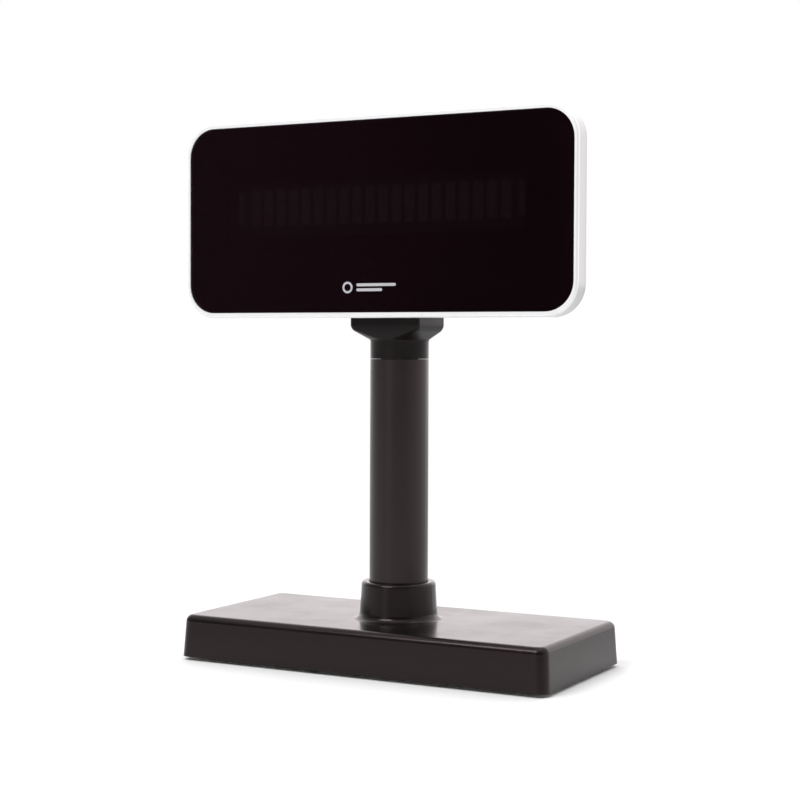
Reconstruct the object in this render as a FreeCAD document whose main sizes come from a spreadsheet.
"""Customer pole display: a weighted base, a pole, a swivelling neck and a tilting display head.

Millimetres. X runs along the width, Y from the customer's side to the back, Z up.
The origin is the middle of the base on the surface that the feet rest on, and the pole stands on Z.
"""
import FreeCAD, Part
import math
import os
import re

import Sketcher

V = FreeCAD.Vector
TURN = FreeCAD.Rotation
doc = FreeCAD.newDocument("pole_display")

# ---------------------------------------------------------------------------------------------
# Driving dimensions
# ---------------------------------------------------------------------------------------------
DIMENSIONS = {
    # base moulding
    "foot_rise": (2.2, "gap under the base cover's rim, taken up by the feet"),
    "base_w": (242.0, "base cover, width at the rim"),
    "base_d": (113.2, "base cover, depth at the rim"),
    "base_rise": (25.2, "base cover, height"),
    "base_draft": (3.3, "draft of the base cover's walls, degrees"),
    "base_corner": (6.5, "radius of the base cover's upright corners"),
    "base_edge": (4.0, "radius of the base cover's top edge"),
    "base_wall": (2.5, "wall of the base cover"),
    "collar_top": (50.0, "height of the collar that holds the pole"),
    "collar_tip_rad": (22.2, "collar, radius at the top"),
    "collar_foot_rad": (23.6, "collar, radius at the base"),
    "collar_flare": (4.0, "fillet between the collar and the base's top"),
    "collar_edge": (2.0, "rounding of the collar's top edge"),
    "cup_rad": (21.0, "cup under the collar, outer radius"),
    "cup_low": (13.0, "cup under the collar, underside"),
    "cup_floor": (3.0, "cup floor thickness"),
    "cable_way": (8.0, "radius of the cable's way through the pole's fittings"),
    # base plate, ballast and feet
    "plate_low": (2.6, "underside of the base plate"),
    "plate_thick": (1.5, "base plate thickness"),
    "plate_gap": (0.4, "gap between the base plate and the cover"),
    "plate_corner": (4.0, "base plate corner radius"),
    "corner_screw_x": (109.0, "corner screws of the base plate, X"),
    "corner_screw_y": (44.5, "corner screws of the base plate, Y"),
    "front_screw_x": (20.0, "front pair of base plate screws, X"),
    "screw_boss_rad": (4.0, "base cover screw boss radius"),
    "ballast_in": (30.0, "ballast block, inner side"),
    "ballast_out": (98.0, "ballast block, outer side"),
    "ballast_half": (46.0, "ballast block, half depth"),
    "ballast_thick": (10.0, "ballast block thickness"),
    "ballast_screw_x": (64.0, "ballast screws, X"),
    "ballast_screw_y": (28.0, "ballast screws, Y"),
    "foot_x": (105.0, "feet, X"),
    "foot_y": (32.0, "feet, Y"),
    "foot_rad": (7.0, "foot radius"),
    # sockets at the back of the base
    "board_low": (6.2, "interface board underside"),
    "board_thick": (1.6, "circuit board thickness"),
    "board_half": (21.0, "interface board, half width"),
    "board_front": (24.0, "interface board, front edge"),
    "board_back": (52.9, "interface board, back edge"),
    "standoff_x": (17.5, "interface board standoffs, X"),
    "standoff_y": (28.0, "interface board standoffs, Y"),
    "signal_x": (-8.5, "modular socket centre, X"),
    "signal_w": (15.6, "modular socket width"),
    "signal_tall": (13.2, "modular socket height"),
    "signal_deep": (17.5, "modular socket depth"),
    "socket_face": (54.9, "front faces of both sockets, Y"),
    "power_x": (11.5, "power jack centre, X"),
    "power_w": (9.0, "power jack width"),
    "power_tall": (11.0, "power jack height"),
    "power_deep": (14.0, "power jack depth"),
    "power_bore": (3.1, "power jack bore radius"),
    "power_pin": (1.05, "power jack pin radius"),
    "cable_rad": (2.2, "harness cable radius"),
    # pole
    "pole_rad": (17.6, "pole tube, outer radius"),
    "pole_wall": (2.0, "pole tube wall"),
    "pole_top": (183.5, "pole tube, top"),
    "socket_slack": (0.3, "gap between the pole and the collar's bore"),
    "fitting_slack": (0.1, "gap between the pole's bore and its fittings"),
    "insert_tall": (18.0, "foot insert height"),
    "pole_screw_ring": (11.9, "pole screws, ring radius"),
    "back_screw_z": (174.0, "screw at the back of the pole's top"),
    # swivel
    "housing_low": (156.0, "swivel housing, underside"),
    "chamber_top": (172.0, "swivel housing, top of the nut chamber"),
    "chamber_rad": (13.2, "swivel housing, nut chamber radius"),
    "thrust_low": (182.5, "seat of the thrust washer"),
    "neck_low": (183.8, "underside of the neck"),
    "spigot_rad": (8.0, "swivel spigot radius"),
    "spigot_bore": (5.5, "swivel spigot bore radius"),
    "spigot_low": (162.0, "swivel spigot, lower end"),
    "spigot_top": (193.0, "swivel spigot, upper end"),
    "running_gap": (0.06, "radial clearance of turning fits"),
    "stop_ring": (13.2, "stop pin, distance from the pole's axis"),
    "stop_rad": (1.2, "stop pin radius"),
    "swivel_reach": (135.0, "swivel each way, degrees"),
    # neck
    "ring_top": (195.0, "top of the neck's round ring"),
    "saddle_low": (201.6, "where the neck's flare reaches the saddle block"),
    "saddle_top": (209.8, "top of the saddle block"),
    "saddle_half": (23.2, "saddle block, half width"),
    "saddle_front": (-20.5, "saddle block, front face"),
    "saddle_back": (14.6, "saddle block, back face"),
    "saddle_corner": (2.0, "saddle block, corner radius"),
    "neck_floor": (188.0, "floor of the neck's well"),
    "well_rad": (13.0, "neck's well radius"),
    # tilt hinge
    "tilt_y": (-4.0, "tilt axis, Y"),
    "tilt_z": (234.0, "tilt axis, Z"),
    "tilt_reach": (45.0, "tilt back, degrees"),
    "ear_rad": (13.0, "neck ear radius"),
    "ear_in": (15.0, "neck ear, inner face"),
    "knuckle_rad": (11.0, "hinge knuckle radius"),
    "knuckle_in": (8.3, "hinge knuckle, inner face"),
    "knuckle_out": (14.4, "hinge knuckle, outer face"),
    "tilt_bolt": (3.0, "tilt bolt radius"),
    "tilt_stop_ring": (8.6, "tilt stop pin, distance from the tilt axis"),
    "tilt_stop_rad": (1.0, "tilt stop pin radius"),
    # head
    "head_half": (129.4, "head frame, half width"),
    "head_low": (207.8, "head frame, underside"),
    "head_top": (326.2, "head frame, top"),
    "head_corner": (19.3, "head frame, corner radius"),
    "face_y": (-36.2, "front of the head frame's lip"),
    "frame_back": (-21.0, "back of the head frame"),
    "frame_wall": (4.5, "head frame wall"),
    "lip": (2.2, "head frame's lip, outer edge to window, at the sides"),
    "lip_more": (0.9, "extra width of the lip along the top and the bottom"),
    "lip_round": (1.3, "rounding of the lip's outer edge"),
    "frame_round": (3.0, "rounding of the frame's back edge"),
    "window_set": (0.3, "window set back from the lip"),
    "window_thick": (2.0, "window thickness"),
    "ledge": (6.0, "width of the ledge under the window"),
    "ledge_thick": (2.0, "thickness of the ledge under the window"),
    "step_in": (3.4, "rear cover set in from the frame"),
    "cover_back": (6.0, "rear cover, back face"),
    "cover_draft": (35.0, "draft of the rear cover's sides, degrees"),
    "cover_corner": (21.0, "rear cover, radius of its slanting corners"),
    "cover_wall": (2.5, "rear cover wall"),
    "cover_round": (4.0, "rounding of the rear cover's back edge"),
    "recess_half": (24.2, "neck recess, half width"),
    "recess_top": (254.0, "neck recess, top"),
    "recess_front": (-19.0, "neck recess, front wall's face"),
    "recess_wall": (2.0, "neck recess walls"),
    "vent_pitch": (6.0, "rear cover vent pitch"),
    "vent_rad": (1.2, "half width of a vent"),
    "cover_screw_x": (117.5, "rear cover screws, X"),
    "cover_screw_z": (46.0, "rear cover screws, distance above and below the head's middle"),
    # display
    "glass_half": (98.0, "display glass, half width"),
    "glass_low": (255.5, "display glass, underside"),
    "glass_top": (290.5, "display glass, top"),
    "glass_front": (-33.4, "display glass, front face"),
    "glass_sheet": (1.8, "thickness of the display's glass sheets"),
    "glass_deep": (7.0, "display glass, overall depth"),
    "digit_pitch": (8.76, "pitch of the character columns"),
    "digit_w": (6.2, "width of one character's grid"),
    "digit_low": (263.4, "character grids, underside"),
    "digit_tall": (21.8, "character grids, height over both rows"),
    "card_half": (109.0, "display board, half width"),
    "card_low": (243.5, "display board, underside"),
    "card_top": (306.5, "display board, top"),
    "card_front": (-25.8, "display board, front face"),
    "card_screw_x": (104.5, "display board screws, X"),
    "card_screw_in": (5.5, "display board screws, in from the top and bottom edges"),
}
FAN = 2.0
DIGITS = 20
VENTS = 19
PINS = 40

sheet = doc.addObject("Spreadsheet::Sheet", "dims")
for row, (alias, (number, note)) in enumerate(DIMENSIONS.items(), start=1):
    sheet.set(f"A{row}", str(number))
    sheet.setAlias(f"A{row}", alias)
    sheet.set(f"B{row}", note)
doc.recompute()


# ---------------------------------------------------------------------------------------------
# Building with the sheet's dimensions
# ---------------------------------------------------------------------------------------------
def bound(expression):
    """The expression with each dimension's name made a reference to its cell."""
    return re.sub(
        r"[a-z]\w*",
        lambda m: f"dims.{m.group()}" if m.group() in DIMENSIONS else m.group(),
        str(expression),
    )


def size(expression):
    """What an expression in the sheet's dimensions comes to."""
    return float(sheet.evalExpression(str(expression)))


def at(*expressions):
    return V(*(size(e) for e in expressions))


def put(thing, point):
    """Binds where an object stands."""
    for axis, expression in zip("xyz", point):
        thing.setExpression(f".Placement.Base.{axis}", bound(expression))
    return thing


def box(name, low, high):
    thing = doc.addObject("Part::Box", name)
    for side, (a, b) in zip(("Length", "Width", "Height"), zip(low, high)):
        thing.setExpression(side, bound(f"({b}) - ({a})"))
    return put(thing, low)


AXES = {"X": TURN(V(0, 1, 0), 90), "Y": TURN(V(1, 0, 0), -90), "Z": TURN()}


def cylinder(name, low, radius, length, axis="Z", start=0, sweep=360):
    """A cylinder from its low end's centre, or a sector of one, from start degrees round its axis."""
    thing = doc.addObject("Part::Cylinder", name)
    thing.setExpression("Radius", bound(radius))
    thing.setExpression("Height", bound(length))
    thing.Angle = size(sweep)
    thing.Placement.Rotation = AXES[axis].multiply(TURN(V(0, 0, 1), size(start)))
    return put(thing, low)


def cone(name, low, radius_low, radius_high, length, axis="Z"):
    thing = doc.addObject("Part::Cone", name)
    thing.setExpression("Radius1", bound(radius_low))
    thing.setExpression("Radius2", bound(radius_high))
    thing.setExpression("Height", bound(length))
    thing.Placement.Rotation = AXES[axis]
    return put(thing, low)


def fused(name, *things):
    if len(things) == 1:
        return things[0]
    thing = doc.addObject("Part::MultiFuse", name)
    thing.Shapes = list(things)
    return thing


def cut(name, base, *tools):
    thing = doc.addObject("Part::Cut", name)
    thing.Base = base
    thing.Tool = fused(name + "_tools", *tools)
    return thing


def ring(name, low, outer, inner, length, axis="Z", start=0, sweep=360):
    """A tube, washer or sector of one."""
    whole = cylinder(name + "_outer", low, outer, length, axis, start, sweep)
    return cut(name, whole, cylinder(name + "_bore", low, inner, length, axis))


def new_body(name):
    return doc.addObject("PartDesign::Body", name)


PLANES = {"XY": "XY_Plane", "XZ": "XZ_Plane", "YZ": "YZ_Plane"}


def new_sketch(body, plane, offset):
    """A sketch on one of the body's origin planes, moved along that plane's normal by offset."""
    sketch = body.newObject("Sketcher::SketchObject", body.Name + "_sketch")
    support = next(f for f in body.Origin.OriginFeatures if f.Role == PLANES[plane])
    sketch.AttachmentSupport = [(support, "")]
    sketch.MapMode = "FlatFace"
    sketch.setExpression(".AttachmentOffset.Base.z", bound(offset))
    return sketch


def bind_point(sketch, line, end, x, y):
    """Dimensions one end of a line from the sketch's origin. None leaves that way free."""
    for way, expression in (("X", x), ("Y", y)):
        if expression is not None:
            rule = Sketcher.Constraint("Distance" + way, line, end, size(expression))
            number = sketch.addConstraint(rule)
            sketch.setExpression(f"Constraints[{number}]", bound(expression))


def outline(body, plane, offset, corners):
    """A closed sketch of straight lines through corners, each an (x, y) pair of expressions."""
    sketch = new_sketch(body, plane, offset)
    spots = [at(x, y, 0) for x, y in corners]
    last = len(spots)
    for n in range(last):
        sketch.addGeometry(Part.LineSegment(spots[n], spots[(n + 1) % last]), False)
    for n in range(last):
        sketch.addConstraint(Sketcher.Constraint("Coincident", n, 2, (n + 1) % last, 1))
        bind_point(sketch, n, 1, *corners[n])
    return sketch


def rounded_outline(body, plane, offset, low, high, radius):
    """A sketch of a rectangle from its low to its high corner, with rounded corners."""
    sketch = new_sketch(body, plane, offset)
    a, b, r = at(*low, 0), at(*high, 0), size(radius)
    lines = [
        (V(a.x + r, a.y, 0), V(b.x - r, a.y, 0)),
        (V(b.x, a.y + r, 0), V(b.x, b.y - r, 0)),
        (V(b.x - r, b.y, 0), V(a.x + r, b.y, 0)),
        (V(a.x, b.y - r, 0), V(a.x, a.y + r, 0)),
    ]
    centres = [(b.x - r, a.y + r), (b.x - r, b.y - r), (a.x + r, b.y - r), (a.x + r, a.y + r)]
    for n, (line, centre) in enumerate(zip(lines, centres)):
        sketch.addGeometry(Part.LineSegment(*line), False)
        circle = Part.Circle(V(*centre, 0), V(0, 0, 1), r)
        turn = math.pi / 2 * (n - 1)
        sketch.addGeometry(Part.ArcOfCircle(circle, turn, turn + math.pi / 2), False)
    for n in range(4):
        line, arc = 2 * n, 2 * n + 1
        sketch.addConstraint(Sketcher.Constraint("Tangent", line, 2, arc, 1))
        sketch.addConstraint(Sketcher.Constraint("Tangent", arc, 2, (line + 2) % 8, 1))
        sketch.addConstraint(Sketcher.Constraint("Vertical" if n % 2 else "Horizontal", line))
    for n in (3, 5, 7):
        sketch.addConstraint(Sketcher.Constraint("Equal", 1, n))
    number = sketch.addConstraint(Sketcher.Constraint("Radius", 1, r))
    sketch.setExpression(f"Constraints[{number}]", bound(radius))
    bind_point(sketch, 0, 1, None, low[1])
    bind_point(sketch, 2, 1, high[0], None)
    bind_point(sketch, 4, 1, None, high[1])
    bind_point(sketch, 6, 1, low[0], None)
    return sketch


def feature(body, kind, sketch, **facts):
    """A PartDesign feature. A fact given as text is bound to the sheet."""
    made = body.newObject("PartDesign::" + kind, f"{body.Name}_{kind}")
    made.Profile = sketch
    for name, value in facts.items():
        if isinstance(value, str):
            made.setExpression(name, bound(value))
        else:
            setattr(made, name, value)
    return made


def pad(body, sketch, length, **facts):
    return feature(body, "Pad", sketch, Length=length, **facts)


def turned(name, corners):
    """A body of revolution about the pole's axis, from its half section in radius and height."""
    body = new_body(name)
    sketch = outline(body, "XZ", 0, corners)
    feature(body, "Revolution", sketch, ReferenceAxis=(sketch, ["V_Axis"]), Angle=360.0)
    doc.recompute()
    return body


def soften(body, radius, chosen, kind="Fillet"):
    """Rounds or chamfers the edges of the body's tip that chosen(edge) picks."""
    doc.recompute()
    tip = body.Tip
    names = [f"Edge{n}" for n, edge in enumerate(tip.Shape.Edges, start=1) if chosen(edge)]
    if not names:
        raise ValueError(f"{body.Name}: no edge to soften")
    made = body.newObject("PartDesign::" + kind, f"{body.Name}_{kind}")
    made.Base = (tip, names)
    made.setExpression("Radius" if kind == "Fillet" else "Size", bound(radius))
    doc.recompute()
    return made


def flat_at(edge, axis, level):
    """True if the edge lies in the plane where axis has that value."""
    span = edge.BoundBox
    low, high = getattr(span, axis + "Min"), getattr(span, axis + "Max")
    return abs(low - level) < 0.01 and abs(high - level) < 0.01


def runs_along(edge, axis, least):
    """True if the edge runs at least that far along axis, and hardly at all across it."""
    span = edge.BoundBox
    lengths = {"X": span.XLength, "Y": span.YLength, "Z": span.ZLength}
    return lengths.pop(axis) >= least and max(lengths.values()) < 2.5


def is_circle(edge, radius, level):
    """True for a horizontal circle of that radius about the pole's axis, at that height."""
    round_edge = isinstance(edge.Curve, Part.Circle) and flat_at(edge, "Z", level)
    return round_edge and abs(edge.Curve.Radius - radius) < 0.02


PIECES = []


def piece(thing, label):
    """Keeps an object as a sub-part. Its label names its file."""
    thing.Label = label
    PIECES.append(thing)
    return thing


def group(label, solids):
    """Loose solids that share one node."""
    thing = doc.addObject("Part::Compound", label)
    thing.Links = solids
    return piece(thing, label)


def copies(label, master, placements):
    """Identical pieces in one node: the master's shape, once at each placement."""
    doc.recompute()
    thing = doc.addObject("Part::Feature", label)
    shapes = [master.Shape.copy() for _ in placements]
    for shape, placement in zip(shapes, placements):
        shape.Placement = placement.multiply(shape.Placement)
    thing.Shape = Part.makeCompound(shapes)
    return piece(thing, label)


def facing(point, direction):
    """A placement at a point, with a fastener's own +Z turned to direction."""
    return FreeCAD.Placement(at(*point), TURN(V(0, 0, 1), V(*direction)))


# ---------------------------------------------------------------------------------------------
# Fasteners, each drawn once with its shank along +Z and its seat or top face at Z = 0
# ---------------------------------------------------------------------------------------------
def cross_recess(name, level, reach, deep):
    long, narrow = reach, 0.45
    flat = box(name + "_a", (-long, -narrow, level), (long, narrow, level + deep))
    upright = box(name + "_b", (-narrow, -long, level), (narrow, long, level + deep))
    return fused(name, flat, upright)


def countersunk_screw(name, head_rad, shank_rad, length):
    """Flush screw, its top face at Z = 0."""
    head_deep = head_rad - shank_rad
    head = cone(name + "_head", (0, 0, 0), head_rad, shank_rad, head_deep)
    shank = cylinder(name + "_shank", (0, 0, head_deep), shank_rad, length - head_deep - 1.2)
    tip = cone(name + "_tip", (0, 0, length - 1.2), shank_rad, shank_rad * 0.45, 1.2)
    whole = fused(name + "_whole", head, shank, tip)
    return cut(name, whole, cross_recess(name + "_recess", 0, head_rad * 0.58, head_deep * 0.7))


def pan_screw(name, head_rad, head_tall, shank_rad, length):
    """Pan-head screw, the underside of its head at Z = 0."""
    rim = head_tall * 0.45
    crown = cone(name + "_crown", (0, 0, -head_tall), head_rad * 0.72, head_rad, head_tall - rim)
    head = cylinder(name + "_rim", (0, 0, -rim), head_rad, rim)
    shank = cylinder(name + "_shank", (0, 0, 0), shank_rad, length - 1.2)
    tip = cone(name + "_tip", (0, 0, length - 1.2), shank_rad, shank_rad * 0.45, 1.2)
    whole = fused(name + "_whole", crown, head, shank, tip)
    slot = cross_recess(name + "_recess", -head_tall, head_rad * 0.55, head_tall * 0.6)
    return cut(name, whole, slot)


def hex_prism(name, point, radius, length):
    """A six-sided prism with its low face centred on a point."""
    thing = doc.addObject("Part::Prism", name)
    thing.Polygon = 6
    thing.setExpression("Circumradius", bound(radius))
    thing.setExpression("Height", bound(length))
    return put(thing, point)


def hex_nut(name, point, radius, bore, length):
    """A nut about Z, with a chamfer's worth of roundness at both faces."""
    block = hex_prism(name + "_block", point, radius, length)
    round_off = cylinder(name + "_turned", point, f"{radius} * 0.965", length)
    bored = cylinder(name + "_bore", point, bore, length)
    body = doc.addObject("Part::MultiCommon", name + "_body")
    body.Shapes = [block, round_off]
    return cut(name, body, bored)


small_flush = countersunk_screw("small_flush_screw", 3.1, 1.6, 12.0)
metric_flush = countersunk_screw("metric_flush_screw", 3.4, 2.0, 9.0)
long_pan = pan_screw("long_pan_screw", 3.0, 2.2, 1.5, 15.0)
short_pan = pan_screw("short_pan_screw", 2.6, 1.8, 1.4, 6.0)
case_pan = pan_screw("case_pan_screw", 2.7, 2.0, 1.4, 11.0)

# ---------------------------------------------------------------------------------------------
# Base cover: one moulding with the pole's collar, a cup under it, screw bosses and ribs
# ---------------------------------------------------------------------------------------------
PLATE_TOP = "plate_low + plate_thick"
BASE_TOP = "foot_rise + base_rise"
CORNERS = [(x, y) for x in (-1, 1) for y in (-1, 1)]

shell = new_body("base_shell")
rim = outline(
    shell,
    "XY",
    "foot_rise",
    [(f"{x} * base_w / 2", f"{y} * base_d / 2") for x, y in ((-1, -1), (1, -1), (1, 1), (-1, 1))],
)
pad(shell, rim, "base_rise", TaperAngle="-base_draft")
soften(shell, "base_corner", lambda e: runs_along(e, "Z", 5))
soften(shell, "base_edge", lambda e: flat_at(e, "Z", size(BASE_TOP)))

hollow = new_body("base_hollow")
hollow_rim = rounded_outline(
    hollow,
    "XY",
    "foot_rise - 1",
    ("base_wall - base_w / 2", "base_wall - base_d / 2"),
    ("base_w / 2 - base_wall", "base_d / 2 - base_wall"),
    "plate_corner",
)
pad(hollow, hollow_rim, "base_rise - base_wall + 1", TaperAngle="-base_draft")

collar = turned(
    "base_collar",
    [
        ("cable_way", "cup_low"),
        ("cup_rad", "cup_low"),
        ("cup_rad", f"{BASE_TOP} - base_wall / 2"),
        ("collar_foot_rad + collar_flare + 2", f"{BASE_TOP} - base_wall / 2"),
        ("collar_foot_rad + collar_flare + 2", BASE_TOP),
        ("collar_foot_rad", BASE_TOP),
        ("collar_tip_rad", "collar_top"),
        ("pole_rad + socket_slack", "collar_top"),
        ("pole_rad + socket_slack", "cup_low + cup_floor"),
        ("cable_way", "cup_low + cup_floor"),
    ],
)
soften(collar, "collar_flare", lambda e: is_circle(e, size("collar_foot_rad"), size(BASE_TOP)))
soften(collar, "collar_edge", lambda e: is_circle(e, size("collar_tip_rad"), size("collar_top")))
soften(
    collar, 0.6, lambda e: is_circle(e, size("pole_rad + socket_slack"), size("collar_top"))
)

plate_screw_spots = [(f"{x} * corner_screw_x", f"{y} * corner_screw_y") for x, y in CORNERS]
plate_screw_spots += [(f"{x} * front_screw_x", "-corner_screw_y") for x in (-1, 1)]
bosses = []
pilots = []
for n, (x, y) in enumerate(plate_screw_spots):
    tall = f"{BASE_TOP} - base_wall / 2 - ({PLATE_TOP})"
    bosses.append(cylinder(f"cover_boss_{n}", (x, y, PLATE_TOP), "screw_boss_rad", tall))
    pilots.append(cylinder(f"cover_pilot_{n}", (x, y, PLATE_TOP), 1.65, 12))

RIB_LOW = f"{PLATE_TOP} + ballast_thick + 1.5"
RIB_TOP = f"{BASE_TOP} - base_wall / 2"
ribs = [
    box("rib_left", ("3 - base_w / 2", -0.8, RIB_LOW), ("1 - cup_rad", 0.8, RIB_TOP)),
    box("rib_right", ("cup_rad - 1", -0.8, RIB_LOW), ("base_w / 2 - 3", 0.8, RIB_TOP)),
    box("rib_front", (-0.8, "3 - base_d / 2", RIB_LOW), (0.8, "1 - cup_rad", RIB_TOP)),
]
for n, x in enumerate(("-ballast_screw_x", "ballast_screw_x")):
    low = (f"{x} - 0.8", "3 - base_d / 2", RIB_LOW)
    ribs.append(box(f"rib_cross_{n}", low, (f"{x} + 0.8", "base_d / 2 - 3", RIB_TOP)))

BOARD_TOP = "board_low + board_thick"
signal_gap = box(
    "signal_gap",
    ("signal_x - signal_w / 2 - 0.4", "socket_face - 8", f"{BOARD_TOP} - 0.3"),
    ("signal_x + signal_w / 2 + 0.4", "base_d / 2 + 2", f"{BOARD_TOP} + signal_tall + 0.4"),
)
power_gap = box(
    "power_gap",
    ("power_x - power_w / 2 - 0.4", "socket_face - 8", f"{BOARD_TOP} - 0.3"),
    ("power_x + power_w / 2 + 0.4", "base_d / 2 + 2", f"{BOARD_TOP} + power_tall + 0.4"),
)
pole_screw_spots = []
for degrees in (30, 150, 270):
    turn = math.radians(degrees)
    spot = (f"pole_screw_ring * {math.cos(turn)}", f"pole_screw_ring * {math.sin(turn)}")
    pole_screw_spots.append(spot)
floor_holes = [
    cylinder(f"floor_hole_{n}", (x, y, "cup_low - 1"), 1.6, "cup_floor + 2")
    for n, (x, y) in enumerate(pole_screw_spots)
]
well = cylinder(
    "collar_well", (0, 0, "cup_low + cup_floor"), "pole_rad + socket_slack", "collar_top"
)
cable_hole = cylinder("cable_hole", (0, 0, "cup_low - 1"), "cable_way", "cup_floor + 2")

open_shell = cut("base_open_shell", shell, hollow, well)
cover_solid = fused("base_cover_solid", open_shell, collar, *bosses, *ribs)
base_cover = cut(
    "base_cover", cover_solid, signal_gap, power_gap, cable_hole, *pilots, *floor_holes
)
piece(base_cover, "base_cover")

# ---------------------------------------------------------------------------------------------
# Base plate, ballast and feet
# ---------------------------------------------------------------------------------------------
sheet_metal = new_body("plate_blank")
plate_half_w = "base_w / 2 - base_wall - plate_gap"
plate_half_d = "base_d / 2 - base_wall - plate_gap"
plate_edge = rounded_outline(
    sheet_metal,
    "XY",
    "plate_low",
    (f"-({plate_half_w})", f"-({plate_half_d})"),
    (plate_half_w, plate_half_d),
    "plate_corner",
)
pad(sheet_metal, plate_edge, "plate_thick")

ballast_spots = [(f"{x} * ballast_screw_x", f"{y} * ballast_screw_y") for x, y in CORNERS]
foot_spots = [(f"{x} * foot_x", f"{y} * foot_y") for x, y in CORNERS]
standoff_spots = [(f"{x} * standoff_x", "standoff_y") for x in (-1, 1)]
plate_holes = []
for n, (x, y) in enumerate(plate_screw_spots):
    plate_holes.append(cone(f"plate_sink_{n}", (x, y, "plate_low"), 3.15, 1.65, 1.5))
for n, (x, y) in enumerate(ballast_spots):
    plate_holes.append(cone(f"ballast_sink_{n}", (x, y, "plate_low"), 3.45, 2.05, 1.4))
    plate_holes.append(cylinder(f"ballast_hole_{n}", (x, y, "plate_low"), 2.05, 2))
for n, (x, y) in enumerate(foot_spots):
    plate_holes.append(cylinder(f"foot_hole_{n}", (x, y, "plate_low - 1"), 3.0, 4))
piece(cut("base_plate", sheet_metal, *plate_holes), "base_plate")

for side, sign in (("left", -1), ("right", 1)):
    block = new_body(f"ballast_{side}_block")
    reach = [f"{sign} * ballast_in", f"{sign} * ballast_out"]
    low_x, high_x = reach if sign > 0 else reach[::-1]
    edge = rounded_outline(
        block, "XY", PLATE_TOP, (low_x, "-ballast_half"), (high_x, "ballast_half"), 5
    )
    pad(block, edge, "ballast_thick")
    soften(block, 1.0, lambda e: flat_at(e, "Z", size(f"{PLATE_TOP} + ballast_thick")), "Chamfer")
    threads = [
        cylinder(f"ballast_{side}_thread_{n}", (x, y, PLATE_TOP), 2.02, 8)
        for n, (x, y) in enumerate(s for s in ballast_spots if size(s[0]) * sign > 0)
    ]
    piece(cut(f"ballast_{side}", block, *threads), f"ballast_{side}")

copies(
    "ballast_screws",
    metric_flush,
    [facing((x, y, "plate_low"), (0, 0, 1)) for x, y in ballast_spots],
)
copies(
    "base_plate_screws",
    small_flush,
    [facing((x, y, "plate_low"), (0, 0, 1)) for x, y in plate_screw_spots],
)

FOOT_NAMES = ("front_left", "rear_left", "front_right", "rear_right")
for foot_name, (x, y) in zip(FOOT_NAMES, foot_spots):
    foot = turned(
        f"foot_{foot_name}",
        [
            (0, 0),
            ("foot_rad - 0.5", 0),
            ("foot_rad", 0.5),
            ("foot_rad - 0.2", "plate_low"),
            (2.9, "plate_low"),
            (2.9, PLATE_TOP),
            (3.6, f"{PLATE_TOP} + 0.1"),
            (2.2, f"{PLATE_TOP} + 2.5"),
            (0, f"{PLATE_TOP} + 2.5"),
        ],
    )
    piece(put(foot, (x, y, 0)), f"foot_{foot_name}")

# ---------------------------------------------------------------------------------------------
# Interface board at the back of the base, with its two sockets
# ---------------------------------------------------------------------------------------------
card = box(
    "interface_card",
    ("-board_half", "board_front", "board_low"),
    ("board_half", "board_back", BOARD_TOP),
)
card_holes = [
    cylinder(f"interface_hole_{n}", (x, y, "board_low - 1"), 1.5, 4)
    for n, (x, y) in enumerate(standoff_spots)
]
piece(cut("interface_board", card, *card_holes), "interface_board")
standoffs = [
    ring(f"standoff_{n}", (x, y, PLATE_TOP), 2.8, 1.45, f"board_low - ({PLATE_TOP})")
    for n, (x, y) in enumerate(standoff_spots)
]
group("board_standoffs", standoffs)
copies(
    "interface_board_screws",
    pan_screw("board_screw", 2.5, 1.6, 1.4, 3.5),
    [facing((x, y, BOARD_TOP), (0, 0, -1)) for x, y in standoff_spots],
)

signal_low = (
    "signal_x - signal_w / 2",
    "socket_face - signal_deep",
    BOARD_TOP,
)
signal_high = ("signal_x + signal_w / 2", "socket_face", f"{BOARD_TOP} + signal_tall")
PORT_FLOOR = f"{BOARD_TOP} + 3.6"
signal_block = box("signal_block", signal_low, signal_high)
port = box(
    "signal_port",
    ("signal_x - 5.9", "socket_face - 12.5", PORT_FLOOR),
    ("signal_x + 5.9", "socket_face + 1", f"{PORT_FLOOR} + 6.9"),
)
latch_way = box(
    "signal_latch_way",
    ("signal_x - 3.2", "socket_face - 12.5", f"{BOARD_TOP} + 1.4"),
    ("signal_x + 3.2", "socket_face + 1", PORT_FLOOR),
)
piece(cut("signal_socket", signal_block, port, latch_way), "signal_socket")
contacts = [
    box(
        f"signal_contact_{n}",
        (f"signal_x + {(n - 3.5) * 1.02 - 0.15}", "socket_face - 12.4", f"{PORT_FLOOR} + 6.3"),
        (f"signal_x + {(n - 3.5) * 1.02 + 0.15}", "socket_face - 4.5", f"{PORT_FLOOR} + 6.88"),
    )
    for n in range(8)
]
group("signal_contacts", contacts)

POWER_Z = f"{BOARD_TOP} + 6.2"
power_block = box(
    "power_block",
    ("power_x - power_w / 2", "socket_face - power_deep", BOARD_TOP),
    ("power_x + power_w / 2", "socket_face", f"{BOARD_TOP} + power_tall"),
)
power_hole = cylinder("power_hole", ("power_x", "socket_face - 9.5", POWER_Z), "power_bore", 12, "Y")
piece(cut("power_jack", power_block, power_hole), "power_jack")
pin_low = ("power_x", "socket_face - 9.5", POWER_Z)
piece(cylinder("power_jack_pin", pin_low, "power_pin", 8.6, "Y"), "power_jack_pin")

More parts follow.
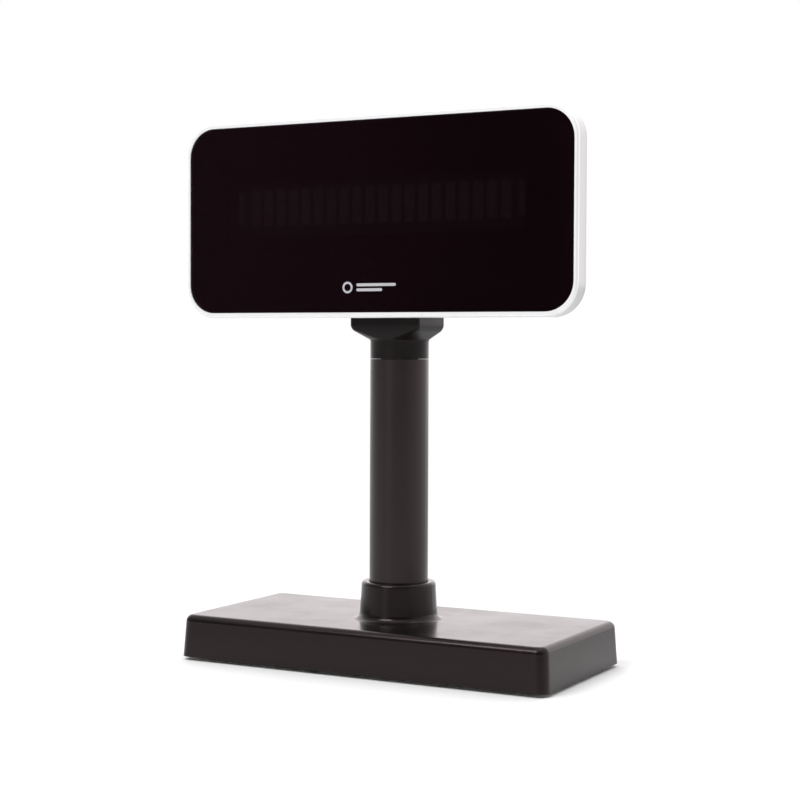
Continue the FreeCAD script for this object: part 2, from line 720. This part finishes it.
CABLE_Z = f"{BOARD_TOP} + 2.4"
header_low = (-7, "board_front + 1", BOARD_TOP)
header = box("header_block", header_low, (7, "board_front + 7", f"{BOARD_TOP} + 5.6"))
header_mouth = box(
    "header_mouth",
    (-6, "board_front", f"{BOARD_TOP} + 0.6"),
    (6, "board_front + 5.5", f"{BOARD_TOP} + 4.6"),
)
piece(cut("harness_header", header, header_mouth), "harness_header")
lower_plug = box(
    "harness_plug_lower",
    (-5.9, "board_front - 1.5", f"{BOARD_TOP} + 0.7"),
    (5.9, "board_front + 5.3", f"{BOARD_TOP} + 4.5"),
)
piece(lower_plug, "harness_plug_lower")


# ---------------------------------------------------------------------------------------------
# Harness cable: a round cable in two lengths that meet on the swivel's axis
# ---------------------------------------------------------------------------------------------
def cable(label, points, radii):
    """A round cable along straight runs joined by tangent arcs, one radius for each inner point."""
    spots = [at(*p) for p in points]
    edges = []
    start = spots[0]
    length = 0.0
    for n, bend in enumerate(radii, start=1):
        before = (spots[n - 1] - spots[n]).normalize()
        after = (spots[n + 1] - spots[n]).normalize()
        half = (math.pi - before.getAngle(after)) / 2
        reach = bend * math.tan(half)
        leave, join = spots[n] + before * reach, spots[n] + after * reach
        inward = (before + after).normalize()
        middle = spots[n] + inward * (bend / math.cos(half) - bend)
        edges.append(Part.LineSegment(start, leave).toShape())
        edges.append(Part.Arc(leave, middle, join).toShape())
        length += (leave - start).Length + 2 * half * bend
        start = join
    edges.append(Part.LineSegment(start, spots[-1]).toShape())
    length += (spots[-1] - start).Length
    path = Part.Wire(edges)
    radius = size("cable_rad")
    section = Part.Wire([Part.makeCircle(radius, spots[0], spots[1] - spots[0])])
    thing = doc.addObject("Part::Feature", label)
    thing.Shape = path.makePipeShell([section], True, True)
    swept = math.pi * radius * radius * length
    if abs(thing.Shape.Volume / swept - 1) > 0.01:
        raise ValueError(f"{label}: volume {thing.Shape.Volume:.1f} for a sweep of {swept:.1f}")
    print(f"{label}: {length:.1f} mm long, bends {[round(r, 1) for r in radii]}")
    return piece(thing, label)


JOIN_Z = "ring_top + 2"
cable(
    "harness_lower",
    [(0, "board_front - 1.5", CABLE_Z), (0, 0, CABLE_Z), (0, 0, JOIN_Z)],
    [11.0],
)
PLUG_Z = "recess_top + 18"
PLUG_BACK = "card_front + board_thick + 8.2"
cable(
    "harness_upper",
    [
        (0, 0, JOIN_Z),
        (0, 0, "saddle_top - 4"),
        (0, "tilt_y", "tilt_z - 12"),
        (0, "tilt_y", PLUG_Z),
        (0, PLUG_BACK, PLUG_Z),
    ],
    [14.0, 20.0, 10.5],
)

# ---------------------------------------------------------------------------------------------
# Pole: a tube with a screwed insert at its foot and the swivel's housing at its top
# ---------------------------------------------------------------------------------------------
POLE_LOW = "cup_low + cup_floor"
POLE_BORE = "pole_rad - pole_wall"
FITTING = f"{POLE_BORE} - fitting_slack"
tube = ring("pole_blank", (0, 0, POLE_LOW), "pole_rad", POLE_BORE, f"pole_top - ({POLE_LOW})")
back_hole = cylinder("pole_back_hole", (0, "pole_rad - 4", "back_screw_z"), 1.65, 6, "Y")
back_sink = cone("pole_back_sink", (0, "pole_rad - 1.5", "back_screw_z"), 1.65, 3.2, 1.55, "Y")
piece(cut("pole_tube", tube, back_hole, back_sink), "pole_tube")

insert = ring("insert_blank", (0, 0, POLE_LOW), FITTING, "cable_way", "insert_tall")
insert_threads = [
    cylinder(f"insert_thread_{n}", (x, y, POLE_LOW), 1.55, 13.5)
    for n, (x, y) in enumerate(pole_screw_spots)
]
piece(cut("pole_foot_insert", insert, *insert_threads), "pole_foot_insert")
copies(
    "pole_screws",
    long_pan,
    [facing((x, y, "cup_low"), (0, 0, 1)) for x, y in pole_screw_spots],
)

housing = turned(
    "housing_blank",
    [
        ("chamber_rad", "housing_low"),
        (FITTING, "housing_low"),
        (FITTING, "pole_top"),
        ("stop_ring - stop_rad - 0.2", "pole_top"),
        ("stop_ring - stop_rad - 0.2", "thrust_low"),
        ("spigot_rad + running_gap", "thrust_low"),
        ("spigot_rad + running_gap", "chamber_top"),
        ("chamber_rad", "chamber_top"),
    ],
)
STOP_SPREAD = f"swivel_reach + 0.8 + {math.degrees(math.asin(1.2 / 13.2))}"
stop_track = ring(
    "stop_track",
    (0, 0, "thrust_low - 3"),
    "stop_ring + stop_rad + 0.2",
    "stop_ring - stop_rad - 0.25",
    6,
    start=f"90 - ({STOP_SPREAD})",
    sweep=f"2 * ({STOP_SPREAD})",
)
housing_thread = cylinder("housing_thread", (0, "chamber_rad - 1", "back_screw_z"), 1.62, 8, "Y")
piece(cut("swivel_housing", housing, stop_track, housing_thread), "swivel_housing")
copies(
    "pole_top_screw",
    countersunk_screw("pole_top_flush", 3.1, 1.6, 4.2),
    [facing((0, "pole_rad", "back_screw_z"), (0, -1, 0))],
)

# ---------------------------------------------------------------------------------------------
# Swivel: a hollow spigot fixed in the neck, held in the housing by a nut and a disc spring
# ---------------------------------------------------------------------------------------------
NUT_BORE = "spigot_rad + 0.02"
spigot = ring(
    "spigot_blank", (0, 0, "spigot_low"), "spigot_rad", "spigot_bore", "spigot_top - spigot_low"
)
piece(spigot, "swivel_spigot")
piece(
    ring("thrust_washer", (0, 0, "thrust_low"), 11.3, "spigot_rad + 0.1", "neck_low - thrust_low"),
    "thrust_washer",
)
piece(
    hex_nut("spigot_top_nut", (0, 0, "neck_floor"), 12.4, NUT_BORE, 3.6),
    "spigot_top_nut",
)
piece(
    ring("swivel_washer", (0, 0, "chamber_top - 1"), 12.5, "spigot_rad + 0.1", 1.0),
    "swivel_washer",
)
disc_spring = turned(
    "swivel_disc_spring",
    [
        ("spigot_rad + 0.2", "chamber_top - 1.6"),
        ("spigot_rad + 0.2", "chamber_top - 1.0"),
        (12.0, "chamber_top - 2.0"),
        (12.0, "chamber_top - 2.6"),
    ],
)
piece(disc_spring, "swivel_disc_spring")
piece(
    hex_nut("swivel_lock_nut", (0, 0, "chamber_top - 7.1"), 12.7, NUT_BORE, 4.5),
    "swivel_lock_nut",
)
piece(
    cylinder("swivel_stop_pin", (0, "stop_ring", "thrust_low - 2.6"), "stop_rad", 8.0),
    "swivel_stop_pin",
)

# ---------------------------------------------------------------------------------------------
# Neck: round ring, square-to-round flare, saddle block, and two ears for the tilt hinge
# ---------------------------------------------------------------------------------------------
neck = new_body("neck_outside")
# The ring's circle is four wide arcs, which flare out to the block's corners, with a short arc
# between each two, which fans out to one flat side of the block.
ring_circle = new_sketch(neck, "XY", "ring_top")
ring_rad = size("pole_rad")
for n in range(4):
    side = 90 * n - 90
    for start_angle, end_angle in ((side - FAN, side + FAN), (side + FAN, side + 90 - FAN)):
        circle = Part.Circle(V(), V(0, 0, 1), ring_rad)
        arc = Part.ArcOfCircle(circle, math.radians(start_angle), math.radians(end_angle))
        ring_circle.addGeometry(arc, False)
for n in range(8):
    ring_circle.addConstraint(Sketcher.Constraint("Coincident", n, 3, -1, 1))
for n in range(7):
    ring_circle.addConstraint(Sketcher.Constraint("Coincident", n, 2, n + 1, 1))
radius_rule = ring_circle.addConstraint(Sketcher.Constraint("Radius", 0, ring_rad))
ring_circle.setExpression(f"Constraints[{radius_rule}]", bound("pole_rad"))
block_low, block_high = ("-saddle_half", "saddle_front"), ("saddle_half", "saddle_back")
block_outline = rounded_outline(neck, "XY", "saddle_low", block_low, block_high, "saddle_corner")
flare = neck.newObject("PartDesign::AdditiveLoft", "neck_flare")
flare.Profile = ring_circle
flare.Sections = [block_outline]
flare.Ruled = True
block_again = rounded_outline(neck, "XY", "saddle_low", block_low, block_high, "saddle_corner")
pad(neck, block_again, "saddle_top - saddle_low")
neck_ring = cylinder("neck_ring", (0, 0, "neck_low"), "pole_rad", "ring_top - neck_low")

ears = []
ear_cuts = []
for side, sign in (("left", -1), ("right", 1)):
    inner, outer = f"{sign} * ear_in", f"{sign} * saddle_half"
    low_x, high_x = (inner, outer) if sign > 0 else (outer, inner)
    ears.append(
        box(
            f"ear_{side}_post",
            (low_x, "tilt_y - ear_rad", "saddle_top - 1"),
            (high_x, "tilt_y + ear_rad", "tilt_z"),
        )
    )
    ears.append(
        cylinder(
            f"ear_{side}_round", (low_x, "tilt_y", "tilt_z"), "ear_rad", "saddle_half - ear_in", "X"
        )
    )
    ear_hole_long = "saddle_half - ear_in + 1"
    ear_cuts.append(
        cylinder(
            f"ear_{side}_hole", (low_x, "tilt_y", "tilt_z"), "tilt_bolt + 0.05", ear_hole_long, "X"
        )
    )
    sink_x = f"{outer} - 3" if sign > 0 else outer
    ear_cuts.append(cylinder(f"ear_{side}_sink", (sink_x, "tilt_y", "tilt_z"), 5.6, 3, "X"))
    # A track in each ear's inner face stops the head at both ends of its tilt.
    track_x = inner if sign > 0 else f"{inner} - 2.4"
    ear_cuts.append(
        ring(
            f"ear_{side}_track",
            (track_x, "tilt_y", "tilt_z"),
            "tilt_stop_ring + tilt_stop_rad + 0.25",
            "tilt_stop_ring - tilt_stop_rad - 0.25",
            2.4,
            "X",
            start="-tilt_reach - 8",
            sweep="tilt_reach + 16",
        )
    )
neck_well = cylinder("neck_well", (0, 0, "neck_floor"), "well_rad", "saddle_top - neck_floor + 1")
neck_bore = cylinder("neck_bore", (0, 0, "neck_low - 1"), NUT_BORE, 8)
pin_bore = cylinder("neck_pin_bore", (0, "stop_ring", "neck_low - 1"), "stop_rad", 6.5)
neck_solid = fused("neck_solid", neck_ring, neck, *ears)
piece(cut("neck_saddle", neck_solid, neck_well, neck_bore, pin_bore, *ear_cuts), "neck_saddle")

cap_disc = cylinder("cap_disc", (0, 0, "saddle_top - 2.2"), "well_rad - 0.1", 2.0)
cap_way = cylinder("cap_way", (0, -1.2, "saddle_top - 3"), 4.4, 4)
piece(cut("neck_cap", cap_disc, cap_way), "neck_cap")


def tilt_bolt(side, sign):
    """Shoulder bolt from the ear's outer face to its nut beside the cable."""
    head_x = "saddle_half - 2.8" if sign > 0 else "-saddle_half + 0.4"
    shank_x = "knuckle_in - 4.2" if sign > 0 else "-saddle_half + 2.8"
    head = cylinder(f"bolt_{side}_head", (head_x, "tilt_y", "tilt_z"), 5.2, 2.4, "X")
    shank = cylinder(
        f"bolt_{side}_shank",
        (shank_x, "tilt_y", "tilt_z"),
        "tilt_bolt",
        "saddle_half - 2.8 - knuckle_in + 4.2",
        "X",
    )
    key_x = "saddle_half - 1.6" if sign > 0 else "-saddle_half"
    key = doc.addObject("Part::Prism", f"bolt_{side}_key")
    key.Polygon = 6
    key.Circumradius = 2.6
    key.Height = 1.6
    key.Placement.Rotation = AXES["X"]
    put(key, (key_x, "tilt_y", "tilt_z"))
    return cut(f"tilt_bolt_{side}", fused(f"bolt_{side}_solid", head, shank), key)


group("tilt_bolts", [tilt_bolt("left", -1), tilt_bolt("right", 1)])


def tilt_nut(side, low_x):
    block = doc.addObject("Part::Prism", f"tilt_nut_{side}_block")
    block.Polygon = 6
    block.Circumradius = 5.7
    block.Height = 3.0
    block.Placement.Rotation = AXES["X"]
    put(block, (low_x, "tilt_y", "tilt_z"))
    bore = cylinder(f"tilt_nut_{side}_bore", (low_x, "tilt_y", "tilt_z"), "tilt_bolt + 0.02", 3, "X")
    return cut(f"tilt_nut_{side}", block, bore)


group("tilt_nuts", [tilt_nut("left", "0.7 - knuckle_in"), tilt_nut("right", "knuckle_in - 3.7")])
group(
    "tilt_spring_washers",
    [
        ring(f"spring_washer_{side}", (x, "tilt_y", "tilt_z"), 5.6, "tilt_bolt + 0.1", 0.7, "X")
        for side, x in (("left", "-knuckle_in"), ("right", "knuckle_in - 0.7"))
    ],
)

# ---------------------------------------------------------------------------------------------
# Hinge carrier: a plate on the head with two knuckles between the neck's ears
# ---------------------------------------------------------------------------------------------
CARRIER_FACE = "recess_front + 3"
carrier_screw_spots = [(x, z) for x in (-9.5, 9.5) for z in ("recess_top - 37", "recess_top - 4.6")]
carrier_plate = box(
    "carrier_plate",
    ("-knuckle_out", "recess_front", "recess_top - 41"),
    ("knuckle_out", CARRIER_FACE, "recess_top - 1"),
)
knuckles = []
knuckle_holes = []
friction_washers = []
stop_pins = []
for side, sign in (("left", -1), ("right", 1)):
    low_x = "knuckle_in" if sign > 0 else "-knuckle_out"
    high_x = "knuckle_out" if sign > 0 else "-knuckle_in"
    knuckles.append(
        box(
            f"knuckle_{side}_web",
            (low_x, "recess_front + 1", "tilt_z - 8"),
            (high_x, "tilt_y", "tilt_z + 8"),
        )
    )
    knuckles.append(
        cylinder(
            f"knuckle_{side}_round",
            (low_x, "tilt_y", "tilt_z"),
            "knuckle_rad",
            "knuckle_out - knuckle_in",
            "X",
        )
    )
    knuckle_holes.append(
        cylinder(f"knuckle_{side}_hole", (low_x, "tilt_y", "tilt_z"), "tilt_bolt + 0.05", 7, "X")
    )
    washer_x = "knuckle_out" if sign > 0 else "-ear_in"
    friction_washers.append(
        ring(
            f"friction_washer_{side}",
            (washer_x, "tilt_y", "tilt_z"),
            7.2,
            "tilt_bolt + 0.05",
            "ear_in - knuckle_out",
            "X",
        )
    )
    pin_x = "knuckle_out - 3" if sign > 0 else "-knuckle_out - 2.6"
    pin_spot = (pin_x, "tilt_y", "tilt_z - tilt_stop_ring")
    stop_pins.append(cylinder(f"tilt_stop_{side}", pin_spot, "tilt_stop_rad", 5.6, "X"))
    knuckle_holes.append(
        cylinder(f"tilt_stop_{side}_seat", pin_spot, "tilt_stop_rad", 5.6, "X")
    )
carrier_threads = [
    cylinder(f"carrier_thread_{n}", (x, "recess_front - 1", z), 1.42, 6, "Y")
    for n, (x, z) in enumerate(carrier_screw_spots)
]
carrier_solid = fused("carrier_solid", carrier_plate, *knuckles)
piece(cut("hinge_carrier", carrier_solid, *knuckle_holes, *carrier_threads), "hinge_carrier")
group("tilt_friction_washers", friction_washers)
group("tilt_stop_pins", stop_pins)
copies(
    "carrier_screws",
    pan_screw("carrier_screw", 2.6, 1.6, 1.4, 4.8),
    [facing((x, "recess_front - recess_wall", z), (0, 1, 0)) for x, z in carrier_screw_spots],
)

# ---------------------------------------------------------------------------------------------
# Head frame: the bright rim round the window
# ---------------------------------------------------------------------------------------------
HEAD_MID = "(head_low + head_top) / 2"


def head_outline(body, y, inset, radius, more="0"):
    """A rounded rectangle across the head at one depth, set in from the head frame's outside.

    more is what it is set in by at the top and the bottom, over what it is at the sides.
    """
    low = (f"{inset} - head_half", f"head_low + {inset} + {more}")
    high = (f"head_half - ({inset})", f"head_top - ({inset}) - {more}")
    return rounded_outline(body, "XZ", f"-({y})", low, high, radius)


frame_body = new_body("frame_blank")
outer_edge = head_outline(frame_body, "face_y", "0", "head_corner")
pad(frame_body, outer_edge, "frame_back - face_y", Reversed=True)
soften(frame_body, "lip_round", lambda e: flat_at(e, "Y", size("face_y")))
soften(frame_body, "frame_round", lambda e: flat_at(e, "Y", size("frame_back")))
window_seat = head_outline(frame_body, "face_y", "lip", "head_corner - lip", "lip_more")
feature(
    frame_body, "Pocket", window_seat, Length="window_set + window_thick + 0.05"
)
opening = head_outline(
    frame_body, "face_y", "lip + ledge", "head_corner - lip - ledge", "lip_more"
)
feature(frame_body, "Pocket", opening, Length="frame_back - face_y + 1")
back_room = head_outline(
    frame_body, "frame_back", "frame_wall", "head_corner - frame_wall"
)
SEAT_DEPTH = "window_set + window_thick + 0.05"
feature(
    frame_body,
    "Pocket",
    back_room,
    Length=f"frame_back - face_y - ({SEAT_DEPTH}) - ledge_thick",
    Reversed=True,
)
doc.recompute()
case_screw_spots = [
    (f"{x} * cover_screw_x", f"{HEAD_MID} + {z} * cover_screw_z") for x, z in CORNERS
]
LEDGE_BACK = f"face_y + {SEAT_DEPTH} + ledge_thick"
frame_bosses = []
frame_pilots = []
for n, (x, z) in enumerate(case_screw_spots):
    low = (x, f"{LEDGE_BACK} - 0.5", z)
    tall = f"frame_back - ({LEDGE_BACK}) + 0.5"
    frame_bosses.append(cylinder(f"frame_boss_{n}", low, 3.5, tall, "Y"))
    frame_pilots.append(cylinder(f"frame_pilot_{n}", (x, "frame_back - 9.3", z), 1.45, 10, "Y"))
frame_solid = fused("frame_solid", frame_body, *frame_bosses)
piece(cut("front_frame_bored", frame_solid, *frame_pilots), "front_frame")

window_body = new_body("window_sheet")
window_edge = head_outline(
    window_body, "face_y + window_set", "lip + 0.1", "head_corner - lip - 0.1", "lip_more"
)
pad(window_body, window_edge, "window_thick", Reversed=True)
soften(window_body, 0.3, lambda e: flat_at(e, "Y", size("face_y + window_set")), "Chamfer")
piece(window_body, "window")

# ---------------------------------------------------------------------------------------------
# Rear cover: a tapered dish with a recess for the neck, board bosses and vents
# ---------------------------------------------------------------------------------------------
SIDE_WALL = "cover_wall / cos(cover_draft)"


def tapered_block(name, y, inset, length, corner):
    """A block that narrows towards the back, with rounded slanting corners."""
    block = new_body(name)
    low = (f"{inset} - head_half", f"head_low + {inset}")
    high = (f"head_half - ({inset})", f"head_top - ({inset})")
    corners = [low, (high[0], low[1]), high, (low[0], high[1])]
    sketch = outline(block, "XZ", f"-({y})", corners)
    pad(block, sketch, length, Reversed=True, TaperAngle="-cover_draft")
    back = size(f"{y} + {length}")
    soften(block, corner, lambda e: e.BoundBox.YLength > 1)
    return block, back


dish, dish_back = tapered_block(
    "cover_dish", "frame_back", "step_in", "cover_back - frame_back", "cover_corner"
)
soften(dish, "cover_round", lambda e: flat_at(e, "Y", dish_back))
dish_void, void_back = tapered_block(
    "cover_void",
    "frame_back",
    f"(step_in + {SIDE_WALL})",
    "cover_back - frame_back - cover_wall",
    "cover_corner - cover_wall",
)

recess_block = box(
    "recess_block",
    ("-recess_half - recess_wall", "frame_back", "head_low + 5"),
    ("recess_half + recess_wall", "cover_back", "recess_top + recess_wall"),
)
recess_shape = doc.addObject("Part::MultiCommon", "recess_shape")
recess_shape.Shapes = [recess_block, dish]
recess_room = box(
    "recess_room",
    ("-recess_half", "recess_front", "head_low - 5"),
    ("recess_half", "cover_back + 5", "recess_top"),
)
# The saddle block stands below the recess, so the cover's lower edge is notched for it.
saddle_notch = box(
    "saddle_notch",
    ("-recess_half", "frame_back - 1", "head_low - 5"),
    ("recess_half", "recess_front + 1", "saddle_top + 1.2"),
)
cable_slot = cylinder("recess_cable_hole", (0, "tilt_y", "recess_top - 1"), 4.0, 5)
MOUTH_Y = "card_front + board_thick"
card_screw_spots = [
    (f"{x} * card_screw_x", z)
    for x in (-1, 1)
    for z in ("card_low + card_screw_in", "card_top - card_screw_in")
]
card_bosses = []
cover_cuts = []
for n, (x, z) in enumerate(card_screw_spots):
    tall = f"cover_back - 1 - ({MOUTH_Y})"
    card_bosses.append(cylinder(f"card_boss_{n}", (x, MOUTH_Y, z), 3.2, tall, "Y"))
    cover_cuts.append(cylinder(f"card_pilot_{n}", (x, f"{MOUTH_Y} - 1", z), 1.45, 10, "Y"))
screw_towers = []
for n, (x, z) in enumerate(case_screw_spots):
    screw_towers.append(cylinder(f"case_tower_{n}", (x, "frame_back", z), 5.0, 9.5, "Y"))
    cover_cuts.append(cylinder(f"case_tunnel_{n}", (x, "frame_back + 2.5", z), 3.3, 20, "Y"))
    cover_cuts.append(cylinder(f"case_hole_{n}", (x, "frame_back - 1", z), 1.6, 6, "Y"))
towers = doc.addObject("Part::MultiCommon", "cover_towers")
towers.Shapes = [fused("cover_tower_set", *screw_towers, *card_bosses), dish]
carrier_ways = [
    cylinder(f"carrier_way_{n}", (x, "frame_back - 1", z), 1.6, 4, "Y")
    for n, (x, z) in enumerate(carrier_screw_spots)
]

VENT_Z = f"{HEAD_MID} + 17"
vents = []
for n in range(VENTS):
    x = f"{n - (VENTS - 1) / 2} * vent_pitch"
    low = (f"{x} - vent_rad", "cover_back - 4", f"{VENT_Z} - 6")
    high = (f"{x} + vent_rad", "cover_back + 1", f"{VENT_Z} + 6")
    vents.append(box(f"vent_{n}", low, high))
    for end, z in (("low", f"{VENT_Z} - 6"), ("high", f"{VENT_Z} + 6")):
        vents.append(cylinder(f"vent_{n}_{end}", (x, "cover_back - 4", z), "vent_rad", 5, "Y"))

hollow_dish = cut("hollow_dish", dish, dish_void)
cover_solid = fused("rear_cover_solid", hollow_dish, recess_shape, towers)
rear_cover = cut(
    "rear_cover",
    cover_solid,
    recess_room,
    saddle_notch,
    cable_slot,
    *cover_cuts,
    *carrier_ways,
    *vents,
)
piece(rear_cover, "rear_cover")
copies(
    "rear_cover_screws",
    case_pan,
    [facing((x, "frame_back + 2.5", z), (0, -1, 0)) for x, z in case_screw_spots],
)

# ---------------------------------------------------------------------------------------------
# Display: a fluorescent tube of two glass sheets, with one grid over each character column
# ---------------------------------------------------------------------------------------------
ANODE_FRONT = "glass_front + glass_deep - glass_sheet"
envelope = box(
    "glass_envelope",
    ("-glass_half", "glass_front", "glass_low"),
    ("glass_half", ANODE_FRONT, "glass_top"),
)
vacuum = box(
    "glass_vacuum",
    ("2.4 - glass_half", "glass_front + glass_sheet", "glass_low + 2.4"),
    ("glass_half - 2.4", f"{ANODE_FRONT} + 1", "glass_top - 2.4"),
)
piece(cut("display_envelope", envelope, vacuum), "display_envelope")
piece(
    box(
        "display_anode_plate",
        ("-glass_half", ANODE_FRONT, "glass_low - 2.5"),
        ("glass_half", "glass_front + glass_deep", "glass_top"),
    ),
    "display_anode_plate",
)
GRID_Y = f"{ANODE_FRONT} - 1.2"
grids = []
for n in range(DIGITS):
    x = f"{n - (DIGITS - 1) / 2} * digit_pitch"
    low = (f"{x} - digit_w / 2", GRID_Y, "digit_low")
    high = (f"{x} + digit_w / 2", f"{GRID_Y} + 0.2", "digit_low + digit_tall")
    grids.append(box(f"grid_{n}", low, high))
group("display_grids", grids)
WIRE_Y = f"{ANODE_FRONT} - 2.2"
support_half = f"{DIGITS} * digit_pitch / 2 + 4"
filaments = [
    cylinder(
        f"filament_{n}",
        (f"-({support_half})", WIRE_Y, f"digit_low + {share} * digit_tall"),
        0.12,
        f"2 * ({support_half})",
        "X",
    )
    for n, share in enumerate((0.2, 0.5, 0.8))
]
group("display_filaments", filaments)
supports = []
for side, sign in (("left", -1), ("right", 1)):
    inner, outer = f"{sign} * ({support_half})", f"{sign} * ({support_half} + 3.6)"
    low_x, high_x = (inner, outer) if sign > 0 else (outer, inner)
    low = (low_x, f"{WIRE_Y} - 0.2", "digit_low + 1.5")
    high = (high_x, f"{ANODE_FRONT} - 0.05", "digit_low + digit_tall - 1.5")
    supports.append(box(f"filament_support_{side}", low, high))
group("display_filament_supports", supports)
pins = []
for n in range(PINS):
    x = f"{(n - (PINS - 1) / 2) * 4.6}"
    low = (f"{x} - 0.25", "glass_front + glass_deep - 1.2", "glass_low - 3.1")
    high = (f"{x} + 0.25", "card_front - 0.02", "glass_low - 2.52")
    pins.append(box(f"pin_{n}", low, high))
group("display_pins", pins)

card_blank = box(
    "card_blank",
    ("-card_half", "card_front", "card_low"),
    ("card_half", "card_front + board_thick", "card_top"),
)
card_holes = [
    cylinder(f"card_hole_{n}", (x, "card_front - 1", z), 1.6, 4, "Y")
    for n, (x, z) in enumerate(card_screw_spots)
]
piece(cut("display_board", card_blank, *card_holes), "display_board")
copies(
    "display_board_screws",
    short_pan,
    [facing((x, "card_front", z), (0, 1, 0)) for x, z in card_screw_spots],
)
CARD_BACK = "card_front + board_thick"


def on_card(name, x, z, width, tall, deep):
    """A block on the back of the display board, by its middle."""
    low = (f"{x} - {width / 2}", CARD_BACK, f"{z} - {tall / 2}")
    return box(name, low, (f"{x} + {width / 2}", f"{CARD_BACK} + {deep}", f"{z} + {tall / 2}"))


chips = [
    on_card(f"driver_{n}", x, HEAD_MID + " + 14", 14, 14, 1.8)
    for n, x in enumerate((-78, -52, 52, 78))
]
chips.append(on_card("controller", -60, HEAD_MID + " - 12", 12, 16, 1.8))
group("driver_chips", chips)
capacitors = [
    cylinder(f"capacitor_{n}", (x, CARD_BACK, f"{HEAD_MID} - 12"), 4.0, 11.5, "Y")
    for n, x in enumerate((58, 70))
]
group("filter_capacitors", capacitors)
coil_low = (84, CARD_BACK, f"{HEAD_MID} - 11")
coil_base = cylinder("coil_base", coil_low, 6.5, 1.2, "Y")
coil_core = cylinder("coil_core", coil_low, 3.4, 7.5, "Y")
coil_cap = cylinder("coil_cap", (84, f"{CARD_BACK} + 6.3", f"{HEAD_MID} - 11"), 6.5, 1.2, "Y")
coil_wound = cylinder("coil_wound", (84, f"{CARD_BACK} + 1", f"{HEAD_MID} - 11"), 5.6, 5.5, "Y")
piece(fused("converter_coil", coil_base, coil_core, coil_cap, coil_wound), "converter_coil")
socket_block = on_card("card_socket_block", 0, PLUG_Z, 14, 6, 5.6)
socket_mouth = box(
    "card_socket_mouth",
    (-6, f"{CARD_BACK} + 1", f"{PLUG_Z} - 2.1"),
    (6, f"{CARD_BACK} + 7", f"{PLUG_Z} + 2.1"),
)
piece(cut("harness_socket", socket_block, socket_mouth), "harness_socket")
upper_plug = box(
    "harness_plug_upper",
    (-5.9, f"{CARD_BACK} + 1.1", f"{PLUG_Z} - 2.0"),
    (5.9, PLUG_BACK, f"{PLUG_Z} + 2.0"),
)
piece(upper_plug, "harness_plug_upper")

# ---------------------------------------------------------------------------------------------
# Check, then write one STEP file for each sub-part
# ---------------------------------------------------------------------------------------------
doc.recompute()
broken = [o.Name for o in doc.Objects if "Invalid" in o.State or "Error" in o.State]
if broken:
    raise SystemExit(f"objects that failed to build: {broken}")
for thing in PIECES:
    shape = thing.Shape
    if shape.isNull() or not shape.isValid() or not shape.Solids or shape.Volume <= 0:
        raise SystemExit(f"{thing.Label} isn't a valid solid")
os.makedirs("parts", exist_ok=True)
for thing in PIECES:
    thing.Shape.exportStep(f"parts/{thing.Label}.step")
    print(f"{thing.Label}: {len(thing.Shape.Solids)} solid(s), {thing.Shape.Volume / 1000:.2f} cm3")
print(len(PIECES), "sub-parts")
